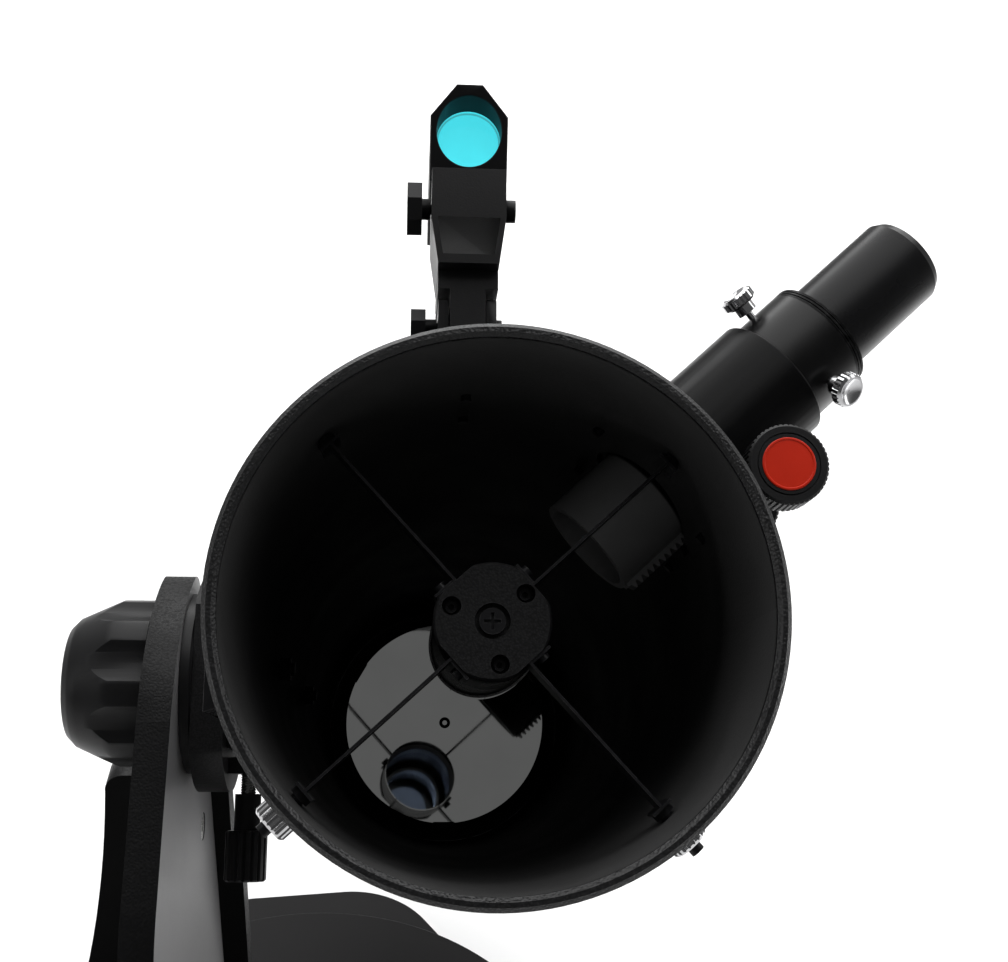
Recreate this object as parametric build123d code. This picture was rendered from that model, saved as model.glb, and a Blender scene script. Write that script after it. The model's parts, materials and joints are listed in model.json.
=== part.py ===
from build123d import *
import math
import os

# Tabletop Dobsonian telescope: a 150 mm f/5 Newtonian tube on a one-armed board base.
# The origin is on the table, on the azimuth axis. +Z is up and the tube points to -Y and up.
# Tube parts are drawn about the altitude axis: x across, y up from the tube, z towards the sky.

# --- tube and optics ---
ALTITUDE = 43.0            # degrees above the horizon, as stored
TUBE_R = 90.0
TUBE_WALL = 1.2
RIM_R = 93.0
FRONT_Z = 303.0            # front rim, ahead of the altitude axis
REAR_Z = -390.0
MIRROR_R = 75.0
MIRROR_Z = -347.0          # edge of the primary mirror's face
MIRROR_THICK = 22.0
MIRROR_SPHERE_R = 1500.0   # twice the focal length
FOCUS_Z = 195.0            # focuser axis
FOCUS_ANGLE = 42.7         # degrees from +x towards +y
HUB_Z = 261.0              # front face of the spider hub
HUB_R = 20.5
VANE_ANGLES = [42.5 + 90 * i for i in range(4)]
STUD_Z = 254.0

# --- base ---
BOARD = 16.0
FOOT_H = 18.0
BEARING_GAP = 5.0
TURNTABLE_R = 200.0
AXIS_H = 410.0             # altitude axis above the turntable
GROUND_Z = FOOT_H + BOARD
TURNTABLE_Z = GROUND_Z + BEARING_GAP
DECK_Z = TURNTABLE_Z + BOARD
TUBE_X = 95.0              # tube axis, from the azimuth axis
PIVOT_Y = -26.0
PIVOT_Z = DECK_Z + AXIS_H
ARM_IN = -140.0            # inner face of the arm, from the tube axis
ARM_OUT = ARM_IN - BOARD
GROUND_TURN = 5.3          # degrees that the ground board is turned under the rest
FOOT_RADIUS = 205.0
TRACK_R = 182.0
REAR_EDGE = 28.0           # arm's rear edge, behind the altitude axis
BRACE_TOP = -88.0

# --- altitude bearing and dovetail, x from the tube axis ---
DISC_R = 46.0
BOLT_R = 6.0
SADDLE_X = -134.0
SADDLE_FLOOR = -118.0
BAR_OUT = -117.7
BAR_IN = -102.0
CLAMP_X = -109.0
FIT = 0.05                 # radial clearance of every running fit
GAP = 0.3                  # air between parts that move past each other

# --- focuser and eyepiece, distances from the tube axis along the focuser axis ---
FOCUSER_R = 27.0
FOCUSER_END = 162.0
DRAWTUBE_R = 21.5
DRAWTUBE_START = 56.0
ADAPTER_R = 24.0
ADAPTER_END = 190.0
BARREL_R = 31.75 / 2       # 1.25 inch eyepiece standard
EYEPIECE_END = 242.0
PINION_U = 125.3
PINION_V = -30.0
PINION_TEETH = 12
MODULE = 1.0
THUMB_U = 171.5
THUMB_ANGLES = [16.0, 136.0]

# --- finder, in the tube's own axes ---
FINDER_X = -8.5
SIGHT_Z = 253.0            # front of the sight's hood
SIGHT_LENGTH = 78.0
SIGHT_Y = 190.0            # centre of the sight's bore
LENS_Z = SIGHT_Z - 14.5
SLOPE_BACK = 13.0          # how far the hood's front slopes back at its foot
PAN_KNOB_Y = 159.7


def tube_place():
    return Pos(TUBE_X, PIVOT_Y, PIVOT_Z) * Rot(90 - ALTITUDE, 0, 0)


def arm_place():
    return Pos(TUBE_X, PIVOT_Y, PIVOT_Z)


def focus_place():
    """Local z runs out along the focuser axis and local x runs back towards the primary mirror."""
    angle = math.radians(FOCUS_ANGLE)
    out = (math.cos(angle), math.sin(angle), 0)
    return tube_place() * Plane((0, 0, FOCUS_Z), x_dir=(0, 0, -1), z_dir=out).location


def block(x0, x1, y0, y1, z0, z1):
    return Pos((x0 + x1) / 2, (y0 + y1) / 2, (z0 + z1) / 2) * Box(x1 - x0, y1 - y0, z1 - z0)


def rod(r, z0, z1):
    return Pos(0, 0, (z0 + z1) / 2) * Cylinder(r, z1 - z0)


def rod_x(r, x0, x1):
    return Pos((x0 + x1) / 2, 0, 0) * Rot(0, 90, 0) * Cylinder(r, x1 - x0)


def rod_y(r, y0, y1):
    return Pos(0, (y0 + y1) / 2, 0) * Rot(90, 0, 0) * Cylinder(r, y1 - y0)


def ring(outer, inner, z0, z1):
    return rod(outer, z0, z1) - rod(inner, z0 - 1, z1 + 1)


def lathe(*points):
    """A solid of revolution about z from radius and height pairs."""
    outline = make_face(Plane.XZ * Polyline(*points, close=True))
    return revolve(outline, Axis.Z)


def knurled(r, z0, z1, count, depth):
    """A grip with straight grooves round it and bevelled ends."""
    bevel = min(1.0, (z1 - z0) / 5)
    grip = lathe((0, z0), (r - bevel, z0), (r, z0 + bevel), (r, z1 - bevel), (r - bevel, z1), (0, z1))
    groove = Pos(r + depth * 0.2, 0, (z0 + z1) / 2) * Rot(0, 0, 45) * Box(depth, depth, z1 - z0 + 2)
    grooves = [Rot(0, 0, 360 * i / count) * groove for i in range(count)]
    return grip - grooves


def around(shape, angles):
    return [Rot(0, 0, a) * shape for a in angles]


# ---------------------------------------------------------------- ground board
def corner_place(k, radius):
    angle = math.radians(90 + GROUND_TURN + 120 * k)
    return Pos(radius * math.cos(angle), radius * math.sin(angle), 0)


def ground_board():
    far, near = 240.0, 190.0
    half = (near - far * math.cos(math.radians(60))) / math.sin(math.radians(60))
    points = []
    for k in range(3):
        a = math.radians(90 + GROUND_TURN + 120 * k)
        for side in (-half, half):
            points.append((far * math.cos(a) - side * math.sin(a), far * math.sin(a) + side * math.cos(a)))
    face = make_face(Polyline(*points, close=True))
    face = fillet(face.vertices(), 75)
    board = Pos(0, 0, FOOT_H) * extrude(face, BOARD)
    board = chamfer(board.edges().group_by(Axis.Z)[-1], 1.0)
    board -= rod(5.2, FOOT_H - 1, GROUND_Z + 1)
    board -= [corner_place(k, FOOT_RADIUS) * rod(2.05, FOOT_H - 1, FOOT_H + 12) for k in range(3)]
    return board


def rubber_feet():
    """Turned feet, hollow underneath, with a seat for the screw head."""
    pad = lathe((2.6, 6), (7, 6), (7, 0), (19, 0), (21, 2), (17, FOOT_H), (2.6, FOOT_H)) - rod(6.3, 6, 9.2)
    return [corner_place(k, FOOT_RADIUS) * pad for k in range(3)]


def foot_screws():
    screw = rod(6, 6.1, 9) + rod(2.0, 9, FOOT_H + 10)
    return [corner_place(k, FOOT_RADIUS) * screw for k in range(3)]


def azimuth_pads():
    return [corner_place(k, TRACK_R) * rod(12, GROUND_Z, GROUND_Z + 3) for k in range(3)]


def hexagon(across, z0, z1):
    return Pos(0, 0, z0) * extrude(RegularPolygon(across / 2, 6, major_radius=False), z1 - z0)


def azimuth_bolt():
    """Bolt up through both boards, with its washer and lock nut."""
    bolt = hexagon(17, FOOT_H - 6.4, FOOT_H) + rod(5, FOOT_H, DECK_Z + 14)
    nut = hexagon(17, DECK_Z + 3.5, DECK_Z + 11.5) - rod(5.02, 0, 200)
    return [bolt, nut + ring(12, 5.02, DECK_Z + 2.3, DECK_Z + 3.5)]


# ---------------------------------------------------------------- turntable and arm
ARM_SCREWS = [(ARM_IN - BOARD / 2, y) for y in (-125, -60, 5)]
BRACE_SCREWS = [(x, REAR_EDGE + BOARD / 2) for x in (-255, -205, -135)]
CAM_Z = (-97.0, -235.0, -372.0)
CAM_Y = -3.0


def screw_spots():
    return [Pos(TUBE_X + x, PIVOT_Y + y, 0) for x, y in ARM_SCREWS + BRACE_SCREWS]


def turntable_board():
    board = rod(TURNTABLE_R, TURNTABLE_Z, DECK_Z) - rod(8.02, 0, 200)
    top_rings = board.edges().filter_by(GeomType.CIRCLE).sort_by(Axis.Z)[-2:]
    board = chamfer(top_rings.sort_by(SortBy.RADIUS)[-1], 1.0)
    for spot in screw_spots():
        board -= spot * rod(4.7, TURNTABLE_Z - 1, TURNTABLE_Z + 4.4)
        board -= spot * rod(2.6, TURNTABLE_Z, DECK_Z + 1)
    return board


def azimuth_track():
    return ring(196, 168, TURNTABLE_Z - 1.7, TURNTABLE_Z)


def board_screws():
    screw = rod(4.5, TURNTABLE_Z + 0.2, TURNTABLE_Z + 4.2) + rod(2.4, TURNTABLE_Z + 4, DECK_Z + 26)
    return [spot * screw for spot in screw_spots()]


def side_arm():
    """Broad crown over the altitude axis, then a leg that sweeps forward to the turntable."""
    crown_r, slope = 100.0, 40.0
    s, c = math.sin(math.radians(slope)), math.cos(math.radians(slope))
    crown_top = 48.5
    crown_y = 3.0
    centre = (crown_y, crown_top - crown_r)
    left = (centre[0] - crown_r * s, centre[1] + crown_r * c)
    right = (REAR_EDGE + BOARD, centre[1] + math.sqrt(crown_r**2 - (REAR_EDGE + BOARD - crown_y) ** 2))
    knee = (-127.0, left[1] - (127.0 + left[0]) * s / c)
    sweep_r = 75.0
    shin = (knee[0] - sweep_r * (1 - s), knee[1] - sweep_r * c)
    outline = [
        ThreePointArc(right, (crown_y, crown_top), left),
        Line(left, knee),
        TangentArc(knee, shin, tangent=(-c, -s)),
        Line(shin, (-150, -AXIS_H)),
        Line((-150, -AXIS_H), (REAR_EDGE, -AXIS_H)),
        Line((REAR_EDGE, -AXIS_H), (REAR_EDGE, BRACE_TOP)),
        Line((REAR_EDGE, BRACE_TOP), (REAR_EDGE + BOARD, BRACE_TOP)),
        Line((REAR_EDGE + BOARD, BRACE_TOP), right),
    ]
    face = make_face(outline)
    face = fillet(face.vertices().sort_by_distance(Vector(*right))[0], 18)
    arm = Pos(ARM_OUT, 0, 0) * extrude(Plane.YZ * face, BOARD)
    arm -= rod_x(10.02, ARM_OUT - 1, ARM_IN + 1)
    for z in CAM_Z:
        arm -= Pos(0, CAM_Y, z) * rod_x(7.5, ARM_IN - 12.5, ARM_IN + 1)
        arm -= Pos(ARM_IN - BOARD / 2, 0, z) * rod_y(3.2, CAM_Y, REAR_EDGE + 1)
    for x, y in ARM_SCREWS:
        arm -= Pos(x, y, -AXIS_H) * rod(2.45, -1, 28)
    return arm_place() * arm


def rear_brace():
    """Board behind the arm, narrow at its top and flared outward to the turntable."""
    top_l, waist_l, foot_l = (-199.5, BRACE_TOP - 12), (-214, -200), (-280, -AXIS_H)
    outline = [
        ThreePointArc(top_l, waist_l, foot_l),
        Line(foot_l, (-125, -AXIS_H)),
        Line((-125, -AXIS_H), (-125, -168)),
        Line((-125, -168), (-130, -140)),
        Line((-130, -140), (-130, BRACE_TOP - 0.1)),
        Line((-130, BRACE_TOP - 0.1), (-189, BRACE_TOP - 0.1)),
        RadiusArc((-189, BRACE_TOP - 0.1), top_l, -11.5),
    ]
    board = Pos(0, REAR_EDGE + BOARD, 0) * extrude(Plane.XZ * make_face(outline), BOARD)
    for z in CAM_Z:
        board -= Pos(ARM_IN - BOARD / 2, 0, z) * rod_y(3.0, REAR_EDGE - 1, REAR_EDGE + 11)
    for x, y in BRACE_SCREWS:
        board -= Pos(x, y, -AXIS_H) * rod(2.45, -1, 28)
    return arm_place() * board


def cam_locks():
    cam = rod_x(7.4, ARM_IN - 12, ARM_IN - 0.4)
    cam -= Pos(ARM_IN - 0.4, 0, 0) * (Box(2.4, 8, 1.4) + Box(2.4, 1.4, 8))
    cam -= Pos(ARM_IN - BOARD / 2, 0, 0) * rod_y(3.1, 2, 10)
    dowel = Pos(ARM_IN - BOARD / 2, -CAM_Y, 0) * rod_y(2.9, CAM_Y + 2.5, REAR_EDGE + 10)
    return [arm_place() * Pos(0, CAM_Y, z) * piece for z in CAM_Z for piece in (cam, dowel)]


def bearing_bushes():
    """Plastic bushes pressed into the turntable and into the arm."""
    azimuth = rod(8, TURNTABLE_Z - 1, DECK_Z) + rod(12, DECK_Z, DECK_Z + 2) - rod(5 + FIT, 0, 200)
    altitude = rod_x(10, ARM_OUT, ARM_IN) - rod_x(BOLT_R + FIT, ARM_OUT - 1, ARM_IN + 1)
    return [azimuth, arm_place() * altitude]


# ---------------------------------------------------------------- altitude knob
def altitude_knob():
    """Eight-lobed hand knob, bevelled towards its outer face."""
    base, bevel, outer = ARM_OUT - 1.8, ARM_OUT - 19, ARM_OUT - 44
    profile = lathe((0, base), (42.5, base), (42.5, bevel), (33, outer + 4), (29, outer), (0, outer))
    cutter = Pos(56, 0, (base + outer) / 2) * Cylinder(18, 60)
    profile -= around(cutter, [45 * i + 22.5 for i in range(8)])
    knob = Rot(0, 90, 0) * profile
    knob = Rot(12, 0, 0) * knob
    return tube_place() * (knob - rod_x(BOLT_R + 0.02, outer + 12, base + 1))


def altitude_bolt():
    """Bolt set in the knob, with the washer that bears on the arm."""
    washer = rod_x(16, ARM_OUT - 1.6, ARM_OUT - GAP) - rod_x(BOLT_R + 0.02, -200, -100)
    return [tube_place() * piece for piece in (rod_x(BOLT_R, ARM_OUT - 31, -124), washer)]


# ---------------------------------------------------------------- cradle
def altitude_disc():
    disc = rod_x(DISC_R, ARM_IN + GAP, SADDLE_X)
    disc = chamfer(disc.edges().sort_by(Axis.X)[-1], 1.2)
    return tube_place() * (disc - rod_x(BOLT_R + 0.3, -200, -100))


def saddle_profile(half_width, r):
    return rod_x(r, SADDLE_X, SADDLE_FLOOR) & block(-200, 0, -80, 80, -half_width, half_width)


def dovetail_saddle():
    """Plate with a rounded outline, a fixed upper jaw and a lug that holds the clamp screw."""
    body = saddle_profile(42, 55)
    jaw = block(SADDLE_FLOOR, -101, 18, 38, -42, 42)
    undercut = Polyline((BAR_OUT, 22.3), (BAR_IN + 2, 18.0), (BAR_IN + 2, 10), (BAR_OUT - 0.3, 10),
                        (BAR_OUT - 0.3, 22.3), close=True)
    body += jaw - Pos(0, 0, -50) * extrude(make_face(undercut), 100)
    body += block(SADDLE_FLOOR, -101, -46, -38, -14, 14)
    body -= Pos(CLAMP_X, 0, 0) * rod_y(4 + FIT, -60, -30)
    body -= rod_x(9.02, SADDLE_X - 1, SADDLE_FLOOR + 1)
    return tube_place() * body


def altitude_insert():
    return tube_place() * (rod_x(9, SADDLE_X, SADDLE_FLOOR - 2) - rod_x(BOLT_R + FIT, -200, -100))


def clamp_jaw():
    """Lower jaw, which the clamp screw draws up against the bar."""
    outline = Polyline((BAR_OUT, -22.4), (-101, -18.1), (-101, -34), (BAR_OUT, -34), close=True)
    jaw = Pos(0, 0, -26) * extrude(make_face(outline), 52)
    return tube_place() * (jaw - Pos(CLAMP_X, 0, 0) * rod_y(4 + FIT, -60, -24))


def clamp_screw():
    return tube_place() * Pos(CLAMP_X, 0, 0) * rod_y(4, -80, -28)


def clamp_grip():
    grip = knurled(10.5, -99, -74, 16, 2.2) + rod(6.6, -74, -56) - rod(4.02, -82, 0)
    return tube_place() * Pos(CLAMP_X, 0, 0) * Rot(-90, 0, 0) * grip


# ---------------------------------------------------------------- tube
BAR_SPOTS = (-80.0, 80.0)


def dovetail_bar():
    outline = Polyline((BAR_OUT, -22), (BAR_OUT, 22), (BAR_IN, 17.8), (BAR_IN, -17.8), close=True)
    bar = Pos(0, 0, -115) * extrude(make_face(outline), 230)
    for z in BAR_SPOTS:
        bar -= Pos(0, 0, z) * (rod_x(3.2, -130, -90) + rod_x(6, BAR_OUT - 1, BAR_OUT + 7))
    return tube_place() * bar


def bar_spacers():
    spacer = block(BAR_IN, -86, -16, 16, -20, 20) - rod(TUBE_R + 0.02, -30, 30) - rod_x(3.2, -130, -80)
    return [tube_place() * Pos(0, 0, z) * spacer for z in BAR_SPOTS]


def bar_bolts():
    bolt = rod_x(5.6, BAR_OUT + 0.6, BAR_OUT + 6.8) + rod_x(3, BAR_OUT + 6, -81)
    nut = Pos(-87.8, 0, 0) * Rot(0, 90, 0) * (hexagon(10, 0, 5) - rod(3.02, -1, 6))
    spots = [tube_place() * Pos(0, 0, z) for z in BAR_SPOTS]
    return [spot * (bolt + nut) for spot in spots]


def tube_shell():
    shell = ring(TUBE_R, TUBE_R - TUBE_WALL, REAR_Z + 6, FRONT_Z - 3)
    for z in BAR_SPOTS:
        shell -= Pos(0, 0, z) * rod_x(3.2, -95, -80)
    for a in VANE_ANGLES:
        shell -= Rot(0, 0, a) * Pos(0, 0, STUD_Z) * rod_x(2.7, 80, 95)
    hole = Rot(0, 0, FOCUS_ANGLE) * Pos(0, 0, FOCUS_Z) * rod_x(24.5, 60, 100)
    hole += Rot(0, 0, FOCUS_ANGLE) * Pos(80, -24, FOCUS_Z) * Box(40, 10, 10)
    shell = tube_place() * (shell - hole)
    shell -= [focus_place() * Pos(x, y, 0) * rod(2.1, 70, 110) for x, y in FLANGE_SCREWS]
    return shell - [tube_place() * Pos(FINDER_X, 0, z) * rod_y(2.1, 80, 100) for z in SHOE_BOLTS]


def front_ring():
    """Rolled rim that caps the front of the tube."""
    inner, back = TUBE_R - TUBE_WALL - 0.4, FRONT_Z - 22
    lip = lathe((inner, FRONT_Z - 3), (inner, FRONT_Z - 1.4), (inner + 1.4, FRONT_Z), (RIM_R - 1.6, FRONT_Z),
                (RIM_R, FRONT_Z - 1.6), (RIM_R, back + 1), (RIM_R - 1, back), (TUBE_R + 0.02, back),
                (TUBE_R + 0.02, FRONT_Z - 3))
    return tube_place() * lip


def rear_ring():
    outer, top = RIM_R, REAR_Z + 28
    cap = lathe((52, REAR_Z), (outer - 2, REAR_Z), (outer, REAR_Z + 2), (outer, top - 1), (outer - 1, top),
                (TUBE_R + 0.02, top), (TUBE_R + 0.02, REAR_Z + 4), (52, REAR_Z + 4))
    holes = [Rot(0, 0, a) * Pos(64, 0, 0) * rod(3.05 + FIT, REAR_Z - 1, REAR_Z + 5) for a in (90, 210, 330)]
    locks = [Rot(0, 0, a + 14) * Pos(64, 0, 0) * rod(2.05, REAR_Z - 1, REAR_Z + 5) for a in (90, 210, 330)]
    return tube_place() * (cap - holes - locks)


# ---------------------------------------------------------------- spider and secondary mirror
def spider_hub():
    hub = rod(HUB_R, HUB_Z - 10, HUB_Z)
    hub = chamfer(hub.edges().sort_by(Axis.Z)[-1], 0.8)
    for a in VANE_ANGLES:
        hub -= Rot(0, 0, a) * block(18.9, 30, -20, 20, HUB_Z - 12, HUB_Z + 1)
        hub -= Rot(0, 0, a) * Pos(0, 5, STUD_Z + 2) * rod_x(1.05, 17.4, 30)
    hub -= [Rot(0, 0, a) * Pos(15, 0, 0) * rod(3.3, HUB_Z - 11, HUB_Z + 1) for a in (40, 160, 280)]
    hub -= rod(6.2, HUB_Z - 3, HUB_Z + 1)
    hub -= rod(2.6, HUB_Z - 11, HUB_Z)
    return tube_place() * hub


def spider_vanes():
    """Four folded steel blades; each has a foot screwed to the hub and a tab for its stud."""
    blade = block(19.0, 85, -0.5, 0.5, HUB_Z - 12.5, HUB_Z - 0.5)
    foot = block(19.0, 20.0, -0.5, 9, HUB_Z - 12, HUB_Z - 1)
    tab = block(84, 85, -4, 4, HUB_Z - 12.5, HUB_Z - 0.5)
    vane = blade + foot + tab - Pos(0, 5, STUD_Z + 2) * rod_x(1.2, 10, 30)
    return [tube_place() * v for v in around(vane, VANE_ANGLES)]


def vane_fixings():
    """Screws at the hub end of the vanes, and studs through the tube's wall."""
    screw = Pos(0, 5, STUD_Z + 2) * (rod_x(2.2, 20.1, 22) + rod_x(1.0, 17.6, 20.1))
    stud = Pos(0, 0, STUD_Z) * (rod_x(2.5, 85.1, 104) + rod_x(3.8, 85.1, 87.6))
    return [tube_place() * s for s in around(screw, VANE_ANGLES) + around(stud, VANE_ANGLES)]


def vane_nut():
    nut = knurled(7, 92.5, 101, 20, 1.2) + rod(4.6, 90.3, 92.5) - rod(2.52, 80, 110)
    return Pos(0, 0, STUD_Z) * Rot(0, 90, 0) * nut


def vane_nuts():
    return [tube_place() * n for n in around(vane_nut(), VANE_ANGLES)]


def behind_mirror(offset):
    """Everything on the sky side of the 45 degree mirror plane, pushed back by offset."""
    tilt = Plane((0, 0, FOCUS_Z + offset * math.sqrt(2)), x_dir=(0, 1, 0), z_dir=(-1, 0, 1))
    return Rot(0, 0, FOCUS_ANGLE) * tilt.location * Pos(0, 0, 60) * Box(200, 200, 120)


def secondary_holder():
    holder = rod(20, 150, HUB_Z - 13) & behind_mirror(6)
    return tube_place() * (holder - rod(2.55, 200, 300))


def secondary_mirror():
    mirror = (rod(20.8, 150, 260) & behind_mirror(0)) - behind_mirror(5.9)
    return tube_place() * mirror


def secondary_screws():
    """Cross-head centre bolt and three set screws that tip the holder."""
    head = rod(4.6, HUB_Z - 2.9, HUB_Z - 0.4) - Pos(0, 0, HUB_Z) * (Box(6, 1.2, 3) + Box(1.2, 6, 3))
    bolt = head + rod(2.5, HUB_Z - 26, HUB_Z - 2.9)
    screw = rod(2.0, HUB_Z - 12.7, HUB_Z - 4) - Pos(0, 0, HUB_Z - 4) * hexagon(2, -3, 1)
    screw += ring(3.2, 1.9, HUB_Z - 10, HUB_Z - 7)
    placed = [Rot(0, 0, a) * Pos(15, 0, 0) * screw for a in (40, 160, 280)]
    return [tube_place() * piece for piece in [bolt] + placed]


# ---------------------------------------------------------------- primary mirror
CELL_TOP = MIRROR_Z - MIRROR_THICK - 2
CLIP_ANGLES = (30, 150, 270)
KNOB_ANGLES = (90, 210, 330)


def primary_mirror():
    blank = rod(MIRROR_R, MIRROR_Z - MIRROR_THICK, MIRROR_Z)
    hollow = MIRROR_SPHERE_R - MIRROR_R**2 / (2 * MIRROR_SPHERE_R)
    return tube_place() * (blank - Pos(0, 0, MIRROR_Z + hollow) * Sphere(MIRROR_SPHERE_R))


def mirror_cell():
    cell = rod(80, CELL_TOP - 6, CELL_TOP)
    cell -= [Rot(0, 0, a) * Pos(48, 0, 0) * rod(14, -400, -300) for a in CLIP_ANGLES]
    cell -= [Rot(0, 0, a) * Pos(64, 0, 0) * rod(3.4, -400, -300) for a in KNOB_ANGLES]
    return tube_place() * (cell - rod(16, -400, -300))


def mirror_clips():
    """Clips over the mirror's edge and the pads that it sits on."""
    top = MIRROR_Z + 1.7
    clip = block(75.6, 78.6, -8, 8, CELL_TOP, top) + block(74, 78.6, -8, 8, MIRROR_Z + 0.3, top)
    pad = Pos(66, 0, 0) * rod(7, CELL_TOP, CELL_TOP + 2)
    return [tube_place() * c for c in around(clip, CLIP_ANGLES) + around(pad, CLIP_ANGLES)]


def collimation_springs():
    spring = Pos(64, 0, 0) * ring(6, 4.6, REAR_Z + 4.1, CELL_TOP - 7)
    return [tube_place() * s for s in around(spring, KNOB_ANGLES)]


def collimation_knob(angle):
    knob = knurled(8.5, REAR_Z - 11, REAR_Z - 1, 14, 1.8) + rod(3.05, REAR_Z - 1, CELL_TOP - 1)
    return tube_place() * Rot(0, 0, angle) * Pos(64, 0, 0) * knob


def lock_screws():
    screw = rod(3.4, REAR_Z - 4, REAR_Z - 0.2) + rod(2.0, REAR_Z - 0.2, CELL_TOP - 7.2)
    screw -= Pos(0, 0, REAR_Z - 4) * hexagon(3, -1, 2)
    return [tube_place() * Rot(0, 0, a + 14) * Pos(64, 0, 0) * screw for a in KNOB_ANGLES]


# ---------------------------------------------------------------- focuser
RACK_TIP = PINION_V + (PINION_TEETH / 2 - 1) * MODULE
RACK_ROOT = RACK_TIP + 2.25 * MODULE


def focuser_body():
    """Body and saddle flange in one casting, with a housing for the pinion beside the bore."""
    body = rod(FOCUSER_R, 80, FOCUSER_END)
    body = chamfer(body.edges().sort_by(Axis.Z)[-1], 0.8)
    body += Pos(0, 0, 92) * block(-38, 38, -33, 33, -12, 5)
    body += Pos(0, 0, PINION_U) * block(-20, 20, PINION_V - 9, -15, -13, 13)
    body -= Rot(0, 90, 0) * Cylinder(TUBE_R + 0.02, 300)
    body -= rod(DRAWTUBE_R + FIT * 2, 60, 200)
    body -= Pos(0, 0, 120) * block(-4.6, 4.6, RACK_TIP - 0.6, -15, -60, 60)
    pinion_room = rod_x(PINION_TEETH / 2 * MODULE + 1.5, -6.3, 6.3)
    body -= Pos(0, PINION_V, PINION_U) * (pinion_room + rod_x(2.5 + FIT, -60, 60))
    for x, y in FLANGE_SCREWS:
        body -= Pos(x, y, 0) * rod(2.1, 60, 120)
    return focus_place() * body


SHOE_BOLTS = (SIGHT_Z - 20, SIGHT_Z - 50)
FLANGE_SCREWS = [(sx * 32, sy * 28) for sx in (-1, 1) for sy in (-1, 1)]


def tube_screws():
    """Screws that hold the focuser and the finder shoe to the tube."""
    flange = rod(3.6, 97.2, 99.5) + rod(2.0, 82, 97.2)
    shoe = rod_y(3.8, 97.1, 100) + rod_y(2, 86, 97.1)
    pin = rod_x(3.4, -13.4, -11.1) + rod_x(1.5, -11.1, 11.1) + rod_x(3.4, 11.1, 13.4)
    placed = [focus_place() * Pos(x, y, 0) * flange for x, y in FLANGE_SCREWS]
    placed += [tube_place() * Pos(FINDER_X, 0, z) * shoe for z in SHOE_BOLTS]
    return placed + [tube_place() * Pos(FINDER_X, 104, SIGHT_Z - 22) * pin]


def rack_tooth():
    pitch = math.pi * MODULE
    slope = math.tan(math.radians(20))
    tip, root = pitch / 4 - MODULE * slope, pitch / 4 + 1.25 * MODULE * slope
    tip -= 0.06
    root -= 0.06
    outline = Polyline((RACK_TIP, -tip), (RACK_TIP, tip), (RACK_ROOT, root), (RACK_ROOT + 0.5, root),
                       (RACK_ROOT + 0.5, -root), (RACK_ROOT, -root), close=True)
    return extrude(Plane.YZ * make_face(outline), 4, both=True)


def drawtube():
    """Racked tube: its teeth face the pinion, in step with it as stored."""
    tube = rod(DRAWTUBE_R, DRAWTUBE_START, FOCUSER_END + 1) + rod(ADAPTER_R, FOCUSER_END + GAP, ADAPTER_END - 4)
    pitch = math.pi * MODULE
    teeth = [Pos(0, 0, PINION_U + pitch * k) * rack_tooth() for k in range(-21, 9)]
    strip = block(-4, 4, RACK_ROOT, RACK_ROOT + 4, DRAWTUBE_START + 1, PINION_U + 9 * pitch)
    tube += strip
    tube += teeth
    tube -= rod(19, 0, FOCUSER_END - 4)
    tube -= rod(BARREL_R + 0.05, 0, 300)
    tube -= [thumb_line(a) * rod(1.55, 10, 40) for a in THUMB_ANGLES]
    return focus_place() * tube


def adapter_ring():
    """Grooved ring at the end of the drawtube that guides the eyepiece barrel."""
    collar = ring(ADAPTER_R, BARREL_R + 0.06, ADAPTER_END - 4, ADAPTER_END)
    for z in (ADAPTER_END - 1.3, ADAPTER_END - 2.6):
        collar -= ring(ADAPTER_R + 1, ADAPTER_R - 0.5, z - 0.3, z + 0.3)
    return focus_place() * collar


def thumb_line(angle):
    """Local z points out along a thumb screw: 0 is across, away from the pinion, and 90 to the sky."""
    a = math.radians(angle)
    return Plane((0, 0, THUMB_U), x_dir=(0, 0, 1), z_dir=(-math.sin(a), math.cos(a), 0)).location


def thumb_screw(angle):
    head = knurled(7, 31.5, 36.5, 24, 0.9) - Pos(0, 0, 44.5) * Sphere(9.6)
    screw = head + rod(4.2, 27.5, 31.5) + rod(1.5, BARREL_R + 0.4, 27.5)
    return focus_place() * thumb_line(angle) * screw


def pinion_outline():
    """Straight-flanked teeth that approach the involute closely at this size."""
    r, count = PINION_TEETH / 2 * MODULE, PINION_TEETH
    half = math.pi / 2 / count
    points = []
    for k in range(count):
        a = 2 * math.pi * k / count
        flank = ((r - 1.3, 1.6), (r, 0.84), (r + 0.9, 0.34))
        for radius, turn in [(f, -t) for f, t in flank] + list(reversed(flank)):
            points.append((radius * math.cos(a + turn * half), radius * math.sin(a + turn * half)))
    return make_face(Polyline(*points, close=True))


def focus_pinion():
    gear = extrude(pinion_outline(), 4.2, both=True)
    gear = Rot(0, 0, 90 + 180 / PINION_TEETH) * gear
    shaft = rod(2.5, -40.8, 40.8)
    return focus_place() * Pos(0, PINION_V, PINION_U) * Rot(0, 90, 0) * (gear + shaft)


def focus_knobs():
    knob = knurled(15.6, 29, 43, 48, 1.1) + rod(7, 22, 29) - rod(2.52, 0, 41)
    knob -= ring(12.2, 11.6, 42.4, 44)
    place = focus_place() * Pos(0, PINION_V, PINION_U)
    return [place * Rot(0, 90 * side, 0) * knob for side in (1, -1)]


# ---------------------------------------------------------------- eyepiece
def eyepiece_barrel():
    barrel = rod(BARREL_R, 160, ADAPTER_END + 1) - rod(14.3, 150, 200)
    barrel -= ring(BARREL_R + 1, BARREL_R - 0.7, 168, 175)
    return focus_place() * barrel


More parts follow.
